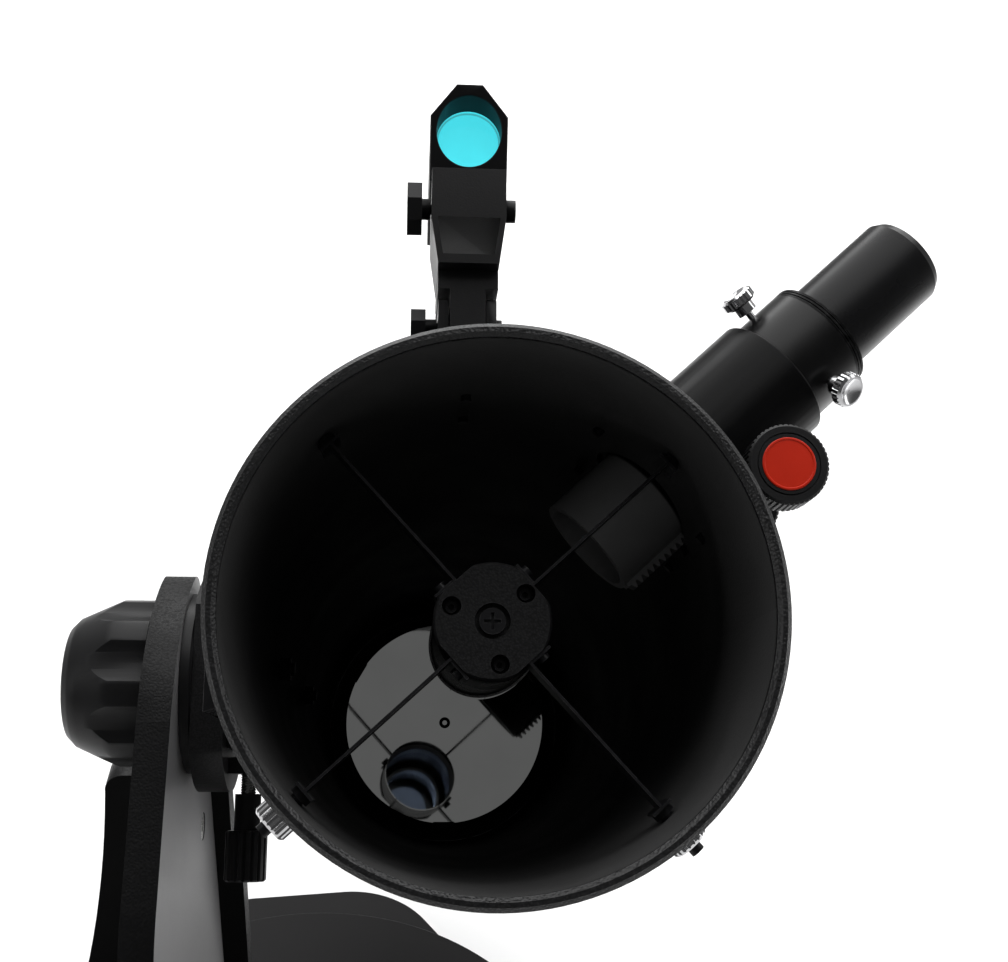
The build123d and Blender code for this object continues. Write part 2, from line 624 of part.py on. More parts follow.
def eyepiece_housing():
    start, end = ADAPTER_END + GAP, EYEPIECE_END
    shell = lathe((14.6, start + 0.7), (18.6, start + 0.7), (19.5, start + 2), (19.5, end - 3), (18, end),
                  (15, end), (11, end - 5), (11, end - 9), (14.6, end - 12))
    return focus_place() * shell


def eyepiece_lenses():
    eye = rod(10.9, EYEPIECE_END - 8.8, EYEPIECE_END - 6)
    field = rod(14.2, ADAPTER_END - 6, ADAPTER_END - 2)
    return [focus_place() * eye, focus_place() * field]


# ---------------------------------------------------------------- finder
def finder_shoe():
    """Foot that follows the tube, with two uprights for the finder's bracket."""
    foot = block(FINDER_X - 13, FINDER_X + 13, 84, 97, SIGHT_Z - 66, SIGHT_Z - 6)
    legs = block(FINDER_X - 11, FINDER_X - 7, 90, 124, SIGHT_Z - 60, SIGHT_Z - 12)
    legs += block(FINDER_X + 7, FINDER_X + 11, 90, 124, SIGHT_Z - 60, SIGHT_Z - 12)
    shoe = foot + legs - rod(TUBE_R + 0.02, 0, 300)
    for z in SHOE_BOLTS:
        shoe -= Pos(FINDER_X, 0, z) * rod_y(2.1, 80, 110)
    shoe -= Pos(FINDER_X, 116, SIGHT_Z - 22) * rod_x(1.8 + FIT, -20, 20)
    shoe -= Pos(FINDER_X, 104, SIGHT_Z - 22) * rod_x(1.55, -20, 20)
    return tube_place() * shoe


def finder_cradle():
    """Lower carriage between the uprights; it tips about the cross pin to aim up and down."""
    carriage = block(FINDER_X - 6.6, FINDER_X + 6.6, 108, 134, SIGHT_Z - 60, SIGHT_Z - 8)
    carriage += block(FINDER_X - 11.3, FINDER_X + 11.3, 126.5, 134, SIGHT_Z - 60, SIGHT_Z - 8)
    carriage -= Pos(FINDER_X, 116, SIGHT_Z - 22) * rod_x(1.8 + FIT, -30, 30)
    carriage -= block(FINDER_X - 3.2, FINDER_X + 3.2, 107, 121, SIGHT_Z - 58, SIGHT_Z - 30)
    carriage -= Pos(FINDER_X, 0, SIGHT_Z - 34) * rod_y(3 + FIT, 128, 140)
    carriage -= Pos(FINDER_X, 130, SIGHT_Z - 50) * rod_x(1.5, -30, 30)
    return tube_place() * carriage


def tilt_knob():
    """Cross pin of the carriage, with the knob that aims the finder up and down."""
    grip = Pos(0, 0, 15.6) * extrude(RegularPolygon(7.2, 8), 5.6)
    pin = rod_x(3, -15.6, -11.3) + rod_x(1.8, -11.3, 12) + rod_x(3.2, 11.3, 13.4)
    knob = Rot(0, -90, 0) * grip + pin
    return tube_place() * Pos(FINDER_X, 116, SIGHT_Z - 22) * knob


def sight_mount():
    """Box under the sight, on cheeks that narrow towards the post; it turns to aim left and right."""
    outline = Polyline((-14, 172.4), (14, 172.4), (14, 152.6), (11.4, 134.4), (-11.4, 134.4), (-14, 152.6),
                       close=True)
    hollow = Polyline((-11.8, 152.6), (11.8, 152.6), (9.6, 138), (-9.6, 138), close=True)
    body = extrude(make_face(outline), 42) - extrude(make_face(hollow), 42)
    body = Pos(FINDER_X, 0, SIGHT_Z - 44) * body
    body += block(FINDER_X - 11.4, FINDER_X + 11.4, 134.4, 138, SIGHT_Z - 58, SIGHT_Z - 43)
    body += Pos(FINDER_X, 0, SIGHT_Z - 34) * rod_y(3, 128.3, 136)
    body -= Pos(FINDER_X, PAN_KNOB_Y, SIGHT_Z - 12) * rod_x(2 + FIT, -30, 30)
    return tube_place() * body


def pan_knob():
    grip = Pos(0, 0, 17.6) * extrude(RegularPolygon(10.6, 8), 5.6)
    knob = Rot(0, -90, 0) * grip + rod_x(4, -17.6, -14.4) + rod_x(2, -14.5, 14.5) + rod_x(4.3, 14.4, 18)
    return tube_place() * Pos(FINDER_X, PAN_KNOB_Y, SIGHT_Z - 12) * knob


def sight_body():
    """Hood with cut corners, a front that slopes back under the lens, and a stepped bore."""
    half, low, top = 14.9, 172.4, 206.3
    points = [(-half, low), (half, low), (half, top - 11), (5, top), (-5, top), (-half, top - 11)]
    outline = make_face(Polyline(*points, close=True))
    hood = Pos(FINDER_X, 0, SIGHT_Z - SIGHT_LENGTH) * extrude(outline, SIGHT_LENGTH)
    bore = Pos(FINDER_X, SIGHT_Y, 0)
    hood -= bore * rod(12.4, LENS_Z - 2.5, SIGHT_Z + 1)
    hood -= bore * rod(11.2, SIGHT_Z - 100, SIGHT_Z)
    hood -= bore * rod(12.4, SIGHT_Z - 100, SIGHT_Z - SIGHT_LENGTH + 8)
    foot = SIGHT_Z - SLOPE_BACK
    slope = Polyline((top, SIGHT_Z), (top, SIGHT_Z + 5), (low - 5, SIGHT_Z + 5), (low - 5, foot), (low, foot),
                     close=True)
    hood -= Pos(FINDER_X - 20, 0, 0) * extrude(make_face(Plane.YZ * slope), 40)
    return tube_place() * hood


def sight_lens():
    return tube_place() * Pos(FINDER_X, SIGHT_Y, 0) * rod(12.3, LENS_Z - 2.5, LENS_Z)


def sight_switch():
    """Turning brightness switch on the back of the box."""
    grip = knurled(7, 0, 7, 18, 1.2)
    return tube_place() * Pos(FINDER_X, 161.5, SIGHT_Z - 44.3) * Rot(180, 0, 0) * grip


def write(name, shape):
    """Writes one named sub-part, keeping its separate solids apart."""
    if isinstance(shape, (list, tuple)):
        solids = [s for piece in shape for s in piece.solids()]
    else:
        solids = shape.solids()
    result = solids[0] if len(solids) == 1 else Compound(children=solids)
    result.label = name
    export_step(result, f"parts/{name}.step")


def main():
    os.makedirs("parts", exist_ok=True)
    makers = [ground_board, rubber_feet, foot_screws, azimuth_pads, azimuth_bolt, turntable_board,
              azimuth_track, board_screws, side_arm, rear_brace, cam_locks, bearing_bushes,
              altitude_knob, altitude_bolt, altitude_disc, dovetail_saddle,
              altitude_insert, clamp_jaw, clamp_screw, clamp_grip, dovetail_bar, bar_spacers, bar_bolts,
              tube_shell, front_ring, rear_ring, spider_hub, spider_vanes, vane_fixings, vane_nuts,
              secondary_holder, secondary_mirror, secondary_screws, primary_mirror, mirror_cell,
              mirror_clips, collimation_springs, lock_screws, focuser_body, tube_screws, drawtube,
              adapter_ring, focus_pinion, focus_knobs, eyepiece_barrel, eyepiece_housing,
              eyepiece_lenses, finder_shoe, finder_cradle, tilt_knob, sight_mount, pan_knob, sight_body,
              sight_lens, sight_switch]
    for make in makers:
        write(make.__name__, make())
    for k, angle in enumerate(KNOB_ANGLES):
        write(f"collimation_knob_{k + 1}", collimation_knob(angle))
    for k, angle in enumerate(THUMB_ANGLES):
        write(f"thumb_screw_{k + 1}", thumb_screw(angle))


main()
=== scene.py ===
import json
import math

import bmesh
import bpy
from mathutils import Matrix, Vector


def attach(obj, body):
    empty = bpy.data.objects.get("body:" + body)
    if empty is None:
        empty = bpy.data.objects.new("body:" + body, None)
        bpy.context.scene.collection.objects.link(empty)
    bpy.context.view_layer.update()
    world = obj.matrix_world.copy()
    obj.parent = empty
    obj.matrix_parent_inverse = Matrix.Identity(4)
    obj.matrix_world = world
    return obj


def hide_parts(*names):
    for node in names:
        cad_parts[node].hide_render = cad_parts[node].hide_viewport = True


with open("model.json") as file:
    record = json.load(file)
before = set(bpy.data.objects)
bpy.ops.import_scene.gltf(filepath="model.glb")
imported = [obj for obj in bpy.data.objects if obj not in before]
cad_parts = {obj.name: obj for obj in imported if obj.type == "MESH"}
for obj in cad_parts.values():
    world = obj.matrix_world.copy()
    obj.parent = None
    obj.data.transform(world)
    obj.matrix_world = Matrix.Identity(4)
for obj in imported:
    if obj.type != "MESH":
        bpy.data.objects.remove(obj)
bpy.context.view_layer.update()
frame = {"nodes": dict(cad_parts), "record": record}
NODES = frame["nodes"]

# ---------------------------------------------------------------- places, in metres as the CAD has them
# Tube axes: x across, y up from the tube, z towards the sky, from the altitude axis.
ALTITUDE = math.radians(43.0)
TUBE_ON_AXIS = (0.095, -0.026, 0.465)   # where the tube's axis passes the altitude axis
TUBE = Matrix.Translation(TUBE_ON_AXIS) @ Matrix.Rotation(math.pi / 2 - ALTITUDE, 4, "X")
IN_TUBE = TUBE.inverted()
TUBE_POINTS = (0.0, -0.7314, 0.6820)    # the tube's own z, as stored

MIRROR_R, MIRROR_THICK = 0.075, 0.022
MIRROR_Z = -0.347                       # edge of the primary mirror's face
MIRROR_SPHERE_R = 1.5                   # twice the focal length
SPRING_ANGLES, SPRING_RING = (90, 210, 330), 0.064

CLAMP_X = -0.109                        # the clamp screw lies beside the tube, along its y
CLAMP_R, CLAMP_PITCH = 0.004, 0.00125   # M8
CLAMP_TIP, CLAMP_END = 0.028, 0.080

FOCUS_ANGLE = math.radians(42.7)        # the focuser's direction, from x towards y
FOCUS_Z = 0.195
PINION_U, PINION_V = 0.1253, -0.030
PALE_REACH = 0.088                      # the drawtube is bare up to here, just inside the tube's wall


def frame_of(origin, x_axis, z_axis):
    """A matrix with these x and z directions."""
    x, z = Vector(x_axis), Vector(z_axis)
    y = z.cross(x)
    m = Matrix((x, y, z)).transposed().to_4x4()
    m.translation = Vector(origin)
    return m


FOCUS = TUBE @ frame_of((0, 0, FOCUS_Z), (0, 0, -1), (math.cos(FOCUS_ANGLE), math.sin(FOCUS_ANGLE), 0))


# ---------------------------------------------------------------- material nodes
class Nodes:
    """Short names for building one material's node tree."""

    def __init__(self, name):
        self.material = bpy.data.materials.new(name)
        self.material.use_nodes = True
        self.tree = self.material.node_tree
        self.shader = self.tree.nodes["Principled BSDF"]
        self.where = self.add("ShaderNodeTexCoord").outputs["Object"]

    def add(self, kind, **values):
        node = self.tree.nodes.new(kind)
        for key, value in values.items():
            setattr(node, key, value)
        return node

    def link(self, a, b):
        self.tree.links.new(a, b)

    def noise(self, scale, detail=3.0, rough=0.55, stretch=None):
        node = self.add("ShaderNodeTexNoise")
        node.inputs["Scale"].default_value = scale
        node.inputs["Detail"].default_value = detail
        node.inputs["Roughness"].default_value = rough
        source = self.where
        if stretch:
            mapping = self.add("ShaderNodeMapping")
            mapping.inputs["Scale"].default_value = stretch
            self.link(source, mapping.inputs["Vector"])
            source = mapping.outputs["Vector"]
        self.link(source, node.inputs["Vector"])
        return node.outputs["Fac"]

    def cells(self, scale):
        node = self.add("ShaderNodeTexVoronoi", feature="SMOOTH_F1")
        node.inputs["Scale"].default_value = scale
        self.link(self.where, node.inputs["Vector"])
        return node.outputs["Distance"]

    def spread(self, value, low, high, start=0.3, end=0.7):
        node = self.add("ShaderNodeMapRange")
        for key, number in (("From Min", start), ("From Max", end), ("To Min", low), ("To Max", high)):
            node.inputs[key].default_value = number
        self.link(value, node.inputs["Value"])
        return node.outputs["Result"]

    def times(self, a, b):
        node = self.add("ShaderNodeMath", operation="MULTIPLY")
        self.link(a, node.inputs[0])
        self.link(b, node.inputs[1])
        return node.outputs["Value"]

    def mix(self, factor, low, high):
        node = self.add("ShaderNodeMix", data_type="RGBA")
        self.link(factor, node.inputs["Factor"])
        for value, socket in ((low, node.inputs[6]), (high, node.inputs[7])):
            if isinstance(value, tuple):
                socket.default_value = (*value, 1)
            else:
                self.link(value, socket)
        return node.outputs[2]

    def bump(self, height, strength, distance, after=None):
        node = self.add("ShaderNodeBump")
        node.inputs["Strength"].default_value = strength
        node.inputs["Distance"].default_value = distance
        self.link(height, node.inputs["Height"])
        if after:
            self.link(after, node.inputs["Normal"])
        return node.outputs["Normal"]

    def edges(self, radius):
        """1 where the surface turns a corner within the radius, 0 on flat ground."""
        round_off = self.add("ShaderNodeBevel", samples=4)
        round_off.inputs["Radius"].default_value = radius
        plain = self.add("ShaderNodeNewGeometry").outputs["Normal"]
        dot = self.add("ShaderNodeVectorMath", operation="DOT_PRODUCT")
        self.link(round_off.outputs["Normal"], dot.inputs[0])
        self.link(plain, dot.inputs[1])
        return self.spread(dot.outputs["Value"], 1.0, 0.0, 0.86, 0.995)

    def finish(self, color, rough, normal=None, specular=0.5, **constants):
        self.shader.inputs["Specular IOR Level"].default_value = specular
        self.link(color, self.shader.inputs["Base Color"])
        self.link(rough, self.shader.inputs["Roughness"])
        if normal:
            self.link(normal, self.shader.inputs["Normal"])
        for key, value in constants.items():
            self.shader.inputs[key.replace("_", " ")].default_value = value
        return self.material


def tint(color, factor):
    """The colour made lighter or darker."""
    return tuple(min(1.0, c * factor) for c in color)


def moulded(name, color, rough, grain=1400, depth=0.00012, worn=2.2):
    """Moulded plastic or textured paint: fine grain, cloudy sheen and paler rubbed edges."""
    n = Nodes(name)
    cloud = n.noise(22, 4)
    fine = n.noise(grain, 2, 0.6)
    body = n.mix(n.spread(cloud, 0, 1), tint(color, 0.86), tint(color, 1.14))
    rub = n.times(n.edges(0.0007), n.spread(n.noise(260, 4), 0.1, 0.8, 0.4, 0.62))
    paint = n.mix(rub, body, tint(color, worn))
    normal = n.bump(fine, 0.35, depth)
    return n.finish(paint, n.spread(cloud, rough - 0.05, rough + 0.07), normal, 0.15, Metallic=0.0)


def crinkle(name, color, rough, scale=1300, depth=0.0002, specular=0.15):
    """Crinkle paint: small raised cells over a finer grain."""
    n = Nodes(name)
    cell = n.cells(scale)
    cloud = n.noise(30, 4)
    body = n.mix(n.spread(cell, 0, 1, 0.15, 0.6), tint(color, 1.5), tint(color, 0.7))
    rub = n.times(n.edges(0.0008), n.spread(n.noise(200, 4), 0.0, 0.6, 0.42, 0.62))
    paint = n.mix(rub, body, tint(color, 3.0))
    normal = n.bump(n.noise(2600, 2), 0.2, 0.00008, n.bump(cell, 0.5, depth))
    return n.finish(paint, n.spread(cloud, rough - 0.05, rough + 0.06), normal, specular, Metallic=0.0)


RUBBED_METAL = (0.06, 0.06, 0.062)


def anodised(name, color, rough, specular=0.14):
    """Satin black metal with a fine grain and rubbed edges."""
    n = Nodes(name)
    cloud = n.noise(35, 4)
    fine = n.noise(900, 2)
    body = n.mix(n.spread(cloud, 0, 1), tint(color, 0.88), tint(color, 1.15))
    rub = n.times(n.edges(0.0005), n.spread(n.noise(300, 4), 0.1, 0.9, 0.42, 0.6))
    paint = n.mix(rub, body, RUBBED_METAL)
    normal = n.bump(fine, 0.12, 0.00006)
    return n.finish(paint, n.spread(cloud, rough - 0.04, rough + 0.06), normal, specular, Metallic=0.0)


def drawtube_metal(name, inner, outer, direction, reach):
    """Satin metal, pale nearer than reach along the focuser's direction and black beyond it."""
    n = Nodes(name)
    cloud = n.noise(35, 4)
    along = n.add("ShaderNodeVectorMath", operation="DOT_PRODUCT")
    n.link(n.where, along.inputs[0])
    along.inputs[1].default_value = direction
    paint = n.mix(n.spread(along.outputs["Value"], 0, 1, reach - 0.001, reach), inner, outer)
    body = n.mix(n.spread(cloud, 0, 0.2), paint, outer)
    return n.finish(body, n.spread(cloud, 0.26, 0.36), n.bump(n.noise(900, 2), 0.12, 0.00006), 0.2,
                    Metallic=0.0)


def metal(name, color, low, high, stretch=(1, 1, 14), depth=0.00004):
    """Bare or plated metal: drawn marks, a few scratches and cloudy polish."""
    n = Nodes(name)
    drawn = n.noise(500, 3, 0.6, stretch)
    cloud = n.noise(60, 5)
    body = n.mix(n.spread(cloud, 0, 1), tint(color, 0.86), color)
    return n.finish(body, n.spread(drawn, low, high), n.bump(drawn, 0.15, depth), Metallic=1.0)


def board_face(name, color, specular=0.08):
    """Melamine board face: very fine pressed grain."""
    n = Nodes(name)
    cloud = n.noise(9, 5)
    pores = n.noise(1100, 3, 0.6)
    body = n.mix(n.spread(cloud, 0, 1), tint(color, 0.93), tint(color, 1.07))
    speck = n.mix(n.spread(pores, 0, 0.5, 0.55, 0.75), body, tint(color, 0.6))
    return n.finish(speck, n.spread(cloud, 0.38, 0.48), n.bump(pores, 0.14, 0.00008), specular, Metallic=0.0)


def board_edge(name, color):
    """Edge banding with an orange-peel surface."""
    n = Nodes(name)
    peel = n.cells(900)
    cloud = n.noise(16, 4)
    body = n.mix(n.spread(cloud, 0, 1), tint(color, 0.85), tint(color, 1.15))
    normal = n.bump(n.noise(1900, 2), 0.2, 0.0001, n.bump(peel, 0.6, 0.00028))
    return n.finish(body, n.spread(peel, 0.42, 0.6), normal, 0.15, Metallic=0.0)


def mirror_coat(name):
    """Aluminised face with a slight haze."""
    n = Nodes(name)
    haze = n.noise(28, 5)
    body = n.mix(n.spread(haze, 0, 1), (0.86, 0.87, 0.86), (0.91, 0.92, 0.91))
    return n.finish(body, n.spread(haze, 0.008, 0.022), None, Metallic=1.0)


def ground_glass(name):
    """Matt glass, as on a mirror's edge and back."""
    n = Nodes(name)
    grit = n.noise(1600, 2)
    body = n.mix(n.spread(grit, 0, 1), (0.42, 0.47, 0.45), (0.52, 0.57, 0.55))
    return n.finish(body, n.spread(grit, 0.5, 0.65), n.bump(grit, 0.2, 0.00006), Metallic=0.0)


def coated_lens(name, color, **glow):
    """Clear glass with a tinted coating. A glow stands for light that the real coating passes."""
    n = Nodes(name)
    haze = n.noise(90, 4)
    body = n.mix(n.spread(haze, 0, 1), tint(color, 0.94), color)
    return n.finish(body, n.spread(haze, 0.01, 0.03), None, Metallic=0.0, IOR=1.52, Transmission_Weight=0.85,
                    Coat_Weight=0.6, Coat_Roughness=0.02, **glow)


def rubber(name):
    """Matt black rubber."""
    n = Nodes(name)
    grain = n.noise(1300, 3)
    cloud = n.noise(40, 4)
    body = n.mix(n.spread(cloud, 0, 1), (0.018, 0.018, 0.018), (0.035, 0.034, 0.033))
    return n.finish(body, n.spread(cloud, 0.72, 0.88), n.bump(grain, 0.4, 0.0002), Metallic=0.0)


RIM = crinkle("rim_paint", (0.009, 0.009, 0.0095), 0.34, 1200, 0.0004, 0.32)
CAST = crinkle("cast_paint", (0.010, 0.010, 0.0105), 0.46)
TUBE_OUT = moulded("tube_outside", (0.008, 0.008, 0.009), 0.24, 700, 0.00008, 1.05)
TUBE_IN = moulded("tube_inside", (0.052, 0.052, 0.052), 0.5, 900, 0.0002, 1.2)
PLASTIC = moulded("moulded_black", (0.0085, 0.0085, 0.009), 0.38)
WHITE = moulded("natural_nylon", (0.66, 0.66, 0.63), 0.45, 900, 0.00008, 1.0)
TRACK = moulded("grey_laminate", (0.16, 0.16, 0.16), 0.3, 500, 0.00006, 1.0)
SATIN = anodised("satin_metal", (0.007, 0.007, 0.0075), 0.27)
BLACKED = anodised("blacked_steel", (0.012, 0.012, 0.013), 0.3)
ZINC = metal("zinc_steel", (0.50, 0.50, 0.49), 0.22, 0.42)
CHROME = metal("chrome", (0.62, 0.62, 0.63), 0.10, 0.2, (1, 1, 6), 0.00002)
BRASS = metal("turned_brass", (0.72, 0.52, 0.24), 0.2, 0.36)
# The arm's pale grey is painted sheen on a black board; the board's own colour is the dark turntable colour.
ARM_FACE_PAINTED_SHEEN = board_face("arm_face_painted_sheen", (0.19, 0.188, 0.191), 0.5)
TABLE_FACE = board_face("turntable_face", (0.012, 0.0118, 0.0122), 0.05)
# The rear brace is the same black board made darker still: painted shade.
BRACE_FACE_PAINTED_SHADE = board_face("brace_face_painted_shade", (0.003, 0.003, 0.0031), 0.03)
EDGE = board_edge("board_edge", (0.0042, 0.0042, 0.0045))
FOCUSER_COLOR = (0.003, 0.003, 0.0032)
OUTWARD = (FOCUS.to_3x3() @ Vector((0, 0, 1))).normalized()
DRAW = drawtube_metal("drawtube_metal", (0.30, 0.30, 0.303), FOCUSER_COLOR, OUTWARD,
                      FOCUS.translation @ OUTWARD + PALE_REACH)
FOCUS_BLACK = anodised("focuser_black", FOCUSER_COLOR, 0.3, 0.06)
MIRROR = mirror_coat("aluminised_face")
GLASS = ground_glass("ground_glass")
# The sight lens glows: this is painted light standing in for light the coating passes, since the lens is no
# lamp.
SIGHT_LENS_PAINTED_GLOW = coated_lens("coated_lens", (0.10, 0.80, 0.88),
                   Emission_Color=(0.10, 0.74, 0.82, 1), Emission_Strength=0.52)
EYE_LENS = coated_lens("eye_lens", (0.55, 0.62, 0.75))
RUBBER = rubber("foot_rubber")
RED = moulded("red_inlay", (0.50, 0.018, 0.004), 0.35, 1000, 0.00006, 1.0)

BY_SLOT = {
    "textured_black": RIM, "cast_black": CAST, "satin_black_metal": SATIN, "black_plastic": PLASTIC,
    "white_plastic": WHITE, "laminate": TRACK, "rubber": RUBBER, "zinc_steel": ZINC, "chrome": CHROME,
    "brass": BRASS, "mirror_glass": MIRROR, "coated_glass": EYE_LENS, "black_tube_paint": TUBE_OUT,
    "black_board": ARM_FACE_PAINTED_SHEEN,
}
OWN_MATERIAL = {
    "sight_lens": SIGHT_LENS_PAINTED_GLOW, "rear_brace": BRACE_FACE_PAINTED_SHADE, "turntable_board": TABLE_FACE, "ground_board": TABLE_FACE,
    "drawtube": DRAW, "focuser_body": FOCUS_BLACK, "adapter_ring": FOCUS_BLACK,
    "secondary_screws": BLACKED, "tube_screws": BLACKED, "bar_bolts": BLACKED, "vane_fixings": BLACKED,
    "focus_pinion": BLACKED, "lock_screws": BLACKED, "spider_vanes": BLACKED,
}
for row in frame["record"]["subparts"]:
    mesh = NODES[row["node"]].data
    mesh.materials.clear()
    mesh.materials.append(OWN_MATERIAL.get(row["node"], BY_SLOT[row["material_slot"]]))


def face_materials(node, *choices):
    """Gives some faces their own material. Each choice is a material and a test of a face's centre and
    normal, and the last choice that picks a face wins."""
    mesh = NODES[node].data
    for material, _ in choices:
        mesh.materials.append(material)
    for polygon in mesh.polygons:
        polygon.material_index = 0
        for index, (_, chooses) in enumerate(choices, 1):
            if chooses(polygon.center, polygon.normal):
                polygon.material_index = index


def faces_inward(centre, normal):
    c = IN_TUBE @ centre
    n = IN_TUBE.to_3x3() @ normal
    return c.x * n.x + c.y * n.y < 0


face_materials("tube_shell", (TUBE_IN, faces_inward))
# The side arm's outer faces take the board's own dark colour, while its inner faces keep the pale
# painted-sheen colour.
face_materials("side_arm", (EDGE, lambda c, n: abs(n.x) < 0.9), (TABLE_FACE, lambda c, n: n.x < -0.9))
face_materials("rear_brace", (EDGE, lambda c, n: abs(n.y) < 0.9))
for board in ("turntable_board", "ground_board"):
    face_materials(board, (EDGE, lambda c, n: abs(n.z) < 0.6))


# ---------------------------------------------------------------- mesh pieces
def piece(name, vertices, faces, material, body, matrix, slot, sharp=35):
    """A named mesh that rides on a body, smooth but for corners over sharp degrees."""
    mesh = bpy.data.meshes.new(name)
    mesh.from_pydata([matrix @ Vector(v) for v in vertices], [], faces)
    mesh.validate()
    solid = bmesh.new()
    solid.from_mesh(mesh)
    bmesh.ops.recalc_face_normals(solid, faces=solid.faces)
    solid.to_mesh(mesh)
    solid.free()
    mesh.shade_smooth()
    mesh.set_sharp_from_angle(angle=math.radians(sharp))
    mesh.materials.append(material)
    obj = bpy.data.objects.new(name, mesh)
    bpy.context.scene.collection.objects.link(obj)
    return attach(obj, body)


def turned(profile, count):
    """Vertices and faces of a closed profile, as (radius, height) pairs, turned about z.
    A point of radius 0 is one vertex on the axis, so the solid is closed there."""
    vertices, rings = [], []
    for r, z in profile:
        if r == 0:
            rings.append([len(vertices)] * count)
            vertices.append((0, 0, z))
        else:
            rings.append(list(range(len(vertices), len(vertices) + count)))
            vertices += [(r * math.cos(2 * math.pi * k / count), r * math.sin(2 * math.pi * k / count), z)
                         for k in range(count)]
    faces = []
    for i, ring in enumerate(rings):
        after = rings[(i + 1) % len(rings)]
        if ring[0] == ring[1] and after[0] == after[1]:
            continue
        for k in range(count):
            q = (k + 1) % count
            corners = [ring[k], ring[q], after[q], after[k]]
            faces.append(tuple(dict.fromkeys(corners)))
    return vertices, faces


def coil(radius, wire, low, high, turns, sides=10, steps=28):
    """A closed helical wire with ground flat ends."""
    vertices, faces, count = [], [], int(turns * steps)
    for k in range(count + 1):
        t = k / count
        a = 2 * math.pi * turns * t
        z = low + wire + (high - low - 2 * wire) * t
        for s in range(sides):
            b = 2 * math.pi * s / sides
            r = radius + wire * math.cos(b)
            vertices.append((r * math.cos(a), r * math.sin(a), z + wire * math.sin(b)))
    for k in range(count):
        for s in range(sides):
            q = (s + 1) % sides
            faces.append((k * sides + s, (k + 1) * sides + s, (k + 1) * sides + q, k * sides + q))
    faces.append(tuple(range(sides)))
    faces.append(tuple(count * sides + s for s in reversed(range(sides))))
    return vertices, faces


def thread_profile(r, low, high, pitch, depth):
    """Closed outline of a screw with V grooves, drawn as rings one pitch apart."""
    points, z = [(0, low), (r - depth, low)], low + 0.3 * pitch
    while z + pitch < high:
        points += [(r - depth, z), (r, z + pitch * 0.45), (r, z + pitch * 0.6), (r - depth, z + pitch)]
        z += pitch
    return points + [(r - depth, high), (0, high)]


def primary_mirror():
    """Concave face fine enough for clean reflections, with a ground edge and back."""
    face_rings, sides = 48, 160
    low = MIRROR_Z - MIRROR_R**2 / (2 * MIRROR_SPHERE_R)
    back = MIRROR_Z - MIRROR_THICK
    radii = [MIRROR_R * i / face_rings for i in range(face_rings, 0, -1)] + [0]
    face = [(r, low + r * r / (2 * MIRROR_SPHERE_R)) for r in radii]
    vertices, faces = turned(face + [(0, back), (MIRROR_R, back)], sides)
    obj = piece("primary_mirror_glass", vertices, faces, MIRROR, "primary_cell", TUBE, "mirror_glass", 30)
    obj.data.materials.append(GLASS)
    axis = (TUBE.to_3x3() @ Vector((0, 0, 1))).normalized()
    for polygon in obj.data.polygons:
        at_front = (IN_TUBE @ polygon.center).z > MIRROR_Z - MIRROR_THICK / 2
        polygon.material_index = 0 if at_front and abs(polygon.normal @ axis) > 0.9 else 1
    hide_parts("primary_mirror")
    inner, outer = 0.0018, 0.0042
    mark = [(inner, low + 0.00012), (outer, low + 0.00013), (outer, low + 0.00003), (inner, low + 0.00002)]
    piece("mirror_centre_ring", *turned(mark, 48), PLASTIC, "primary_cell", TUBE, "black_plastic")


def springs():
    """Coil springs in the place of the CAD's closed sleeves, behind the mirror cell."""
    radius, wire, low, high, turns = 0.0053, 0.0006, -0.3857, -0.3782, 4.5
    vertices, faces = [], []
    for angle in SPRING_ANGLES:
        spot = Matrix.Rotation(math.radians(angle), 4, "Z") @ Matrix.Translation((SPRING_RING, 0, 0))
        more, loops = coil(radius, wire, low, high, turns)
        start = len(vertices)
        vertices += [tuple(spot @ Vector(v)) for v in more]
        faces += [tuple(i + start for i in f) for f in loops]
    obj = piece("coil_springs", vertices, faces, ZINC, "tube", TUBE, "zinc_steel", 60)
    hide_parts("collimation_springs")


def clamp_thread():
    """The clamp screw with its thread, in the place of the CAD's plain rod."""
    place = TUBE @ frame_of((CLAMP_X, 0, 0), (1, 0, 0), (0, -1, 0))
    groove = 0.0006
    profile = thread_profile(CLAMP_R, CLAMP_TIP, CLAMP_END, CLAMP_PITCH, groove)
    obj = piece("clamp_thread", *turned(profile, 40), ZINC, "clamp_knob", place, "zinc_steel", 25)
    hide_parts("clamp_screw")


def knob_inlay():
    """Plain red disc let into the face of the focus knob, with a fine raised lip."""
    place = FOCUS @ frame_of((0, PINION_V, PINION_U), (0, 1, 0), (-1, 0, 0))
    profile = [(0, 0.0429), (0.0102, 0.0429), (0.0102, 0.04325), (0.0099, 0.04345), (0.0094, 0.04345),
               (0.0091, 0.0432), (0, 0.0432)]
    piece("focus_knob_inlay", *turned(profile, 72), RED, "focus_shaft", place, "black_plastic", 20)


primary_mirror()
springs()
clamp_thread()
knob_inlay()

# ---------------------------------------------------------------- softened edges
WELD_GAP, BEVEL_FROM = 0.000002, math.radians(32)
BEVELS = {
    "side_arm": 0.0009, "rear_brace": 0.0009, "ground_board": 0.0006, "turntable_board": 0.0006,
    "altitude_knob": 0.0008, "dovetail_saddle": 0.0007, "sight_body": 0.0007, "sight_mount": 0.0006,
    "finder_cradle": 0.0005, "finder_shoe": 0.0007, "focuser_body": 0.0006, "spider_hub": 0.0003,
    "dovetail_bar": 0.0005, "clamp_jaw": 0.0006, "pan_knob": 0.0004, "tilt_knob": 0.0004,
}
for node, width in BEVELS.items():
    weld = NODES[node].modifiers.new("weld", "WELD")
    weld.merge_threshold = WELD_GAP
    bevel = NODES[node].modifiers.new("bevel", "BEVEL")
    bevel.width = width
    bevel.segments = 3
    bevel.limit_method = "ANGLE"
    bevel.angle_limit = BEVEL_FROM
    bevel.harden_normals = True
    bevel.use_clamp_overlap = True

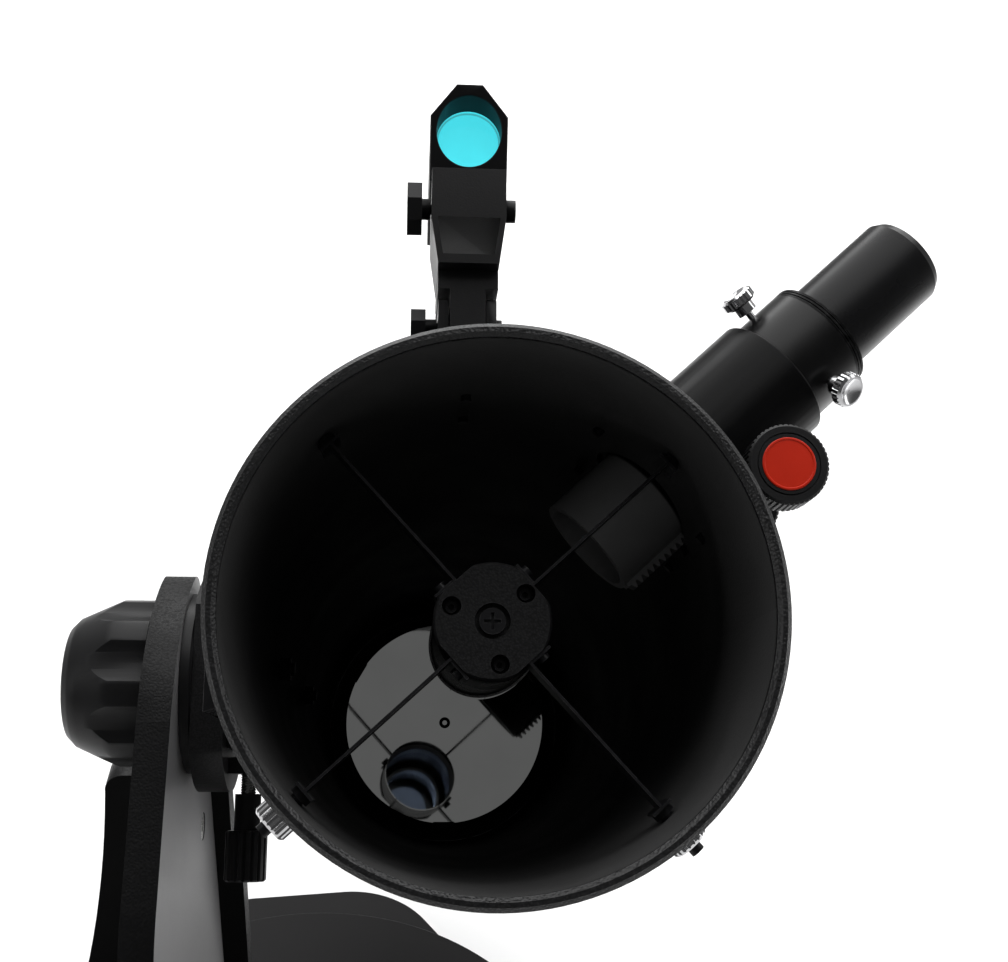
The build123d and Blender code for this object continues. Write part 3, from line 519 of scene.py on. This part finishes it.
# ---------------------------------------------------------------- floor, light and camera
def studio_floor():
    half = 6
    mesh = bpy.data.meshes.new("floor")
    corners = [(-half, -half, 0), (half, -half, 0), (half, half, 0), (-half, half, 0)]
    mesh.from_pydata(corners, [], [(0, 1, 2, 3)])
    obj = bpy.data.objects.new("floor", mesh)
    bpy.context.scene.collection.objects.link(obj)
    n = Nodes("floor_pale")
    pale = n.mix(n.spread(n.noise(3, 3), 0, 1), (0.84, 0.84, 0.84), (0.87, 0.87, 0.87))
    mesh.materials.append(n.finish(pale, n.spread(n.noise(5, 3), 0.6, 0.7)))


def studio_world():
    """White to the camera, but a dim light, and dimmest from where the tube points."""
    world = bpy.data.worlds.new("studio")
    bpy.context.scene.world = world
    world.use_nodes = True
    nodes, links = world.node_tree.nodes, world.node_tree.links
    background = nodes["Background"]
    toward = nodes.new("ShaderNodeVectorMath")
    toward.operation = "DOT_PRODUCT"
    toward.inputs[1].default_value = TUBE_POINTS
    links.new(nodes.new("ShaderNodeTexCoord").outputs["Generated"], toward.inputs[0])
    fade = nodes.new("ShaderNodeMapRange")
    for key, number in (("From Min", -0.2), ("From Max", 0.6), ("To Min", 0.42), ("To Max", 0.10)):
        fade.inputs[key].default_value = number
    links.new(toward.outputs["Value"], fade.inputs["Value"])
    seen = nodes.new("ShaderNodeMath")
    seen.operation = "MAXIMUM"
    links.new(fade.outputs["Result"], seen.inputs[0])
    links.new(nodes.new("ShaderNodeLightPath").outputs["Is Camera Ray"], seen.inputs[1])
    links.new(seen.outputs["Value"], background.inputs["Strength"])
    background.inputs["Color"].default_value = (1, 1, 1, 1)


def area(name, place, target, size, power):
    """A soft rectangular light at a place, facing a target."""
    light = bpy.data.lights.new(name, "AREA")
    light.shape = "RECTANGLE"
    light.size, light.size_y = size
    light.energy = power
    obj = bpy.data.objects.new(name, light)
    bpy.context.scene.collection.objects.link(obj)
    obj.location = place
    obj.rotation_euler = (Vector(target) - Vector(place)).to_track_quat("-Z", "Y").to_euler()


def photo_camera():
    """The photo's viewpoint: close in front of the tube, looking down on it."""
    right, up, back = (0.9977, -0.0500, 0.0467), (-0.0156, 0.4989, 0.8667), (-0.0667, -0.8653, 0.4969)
    camera = bpy.data.cameras.new("camera")
    camera.sensor_width = 36.0
    camera.sensor_fit = "HORIZONTAL"
    camera.lens = 49.64
    camera.clip_start = 0.01
    obj = bpy.data.objects.new("camera", camera)
    bpy.context.scene.collection.objects.link(obj)
    view = Matrix((right, up, back)).transposed().to_4x4()
    view.translation = (0.0664, -0.6049, 0.9211)
    obj.matrix_world = view
    bpy.context.scene.camera = obj


studio_floor()
studio_world()
area("overhead", (0.2, 1.3, 3.0), (0.1, 1.0, 0.0), (4.5, 4.0), 160)
area("far_floor", (0.1, 4.6, 3.2), (0.1, 5.2, 0.0), (7.0, 4.0), 260)
area("left_strip", (-1.7, -0.5, 1.3), (0.1, -0.1, 0.45), (0.4, 1.8), 5)
area("right_strip", (1.7, 0.0, 1.2), (0.1, -0.1, 0.5), (0.4, 1.8), 6)
area("low_card", (0.75, 0.1, 0.25), (-0.05, 0.0, 0.3), (0.5, 0.4), 0.5)
photo_camera()
bpy.context.scene.view_settings.view_transform = "Standard"

bpy.context.view_layer.update()
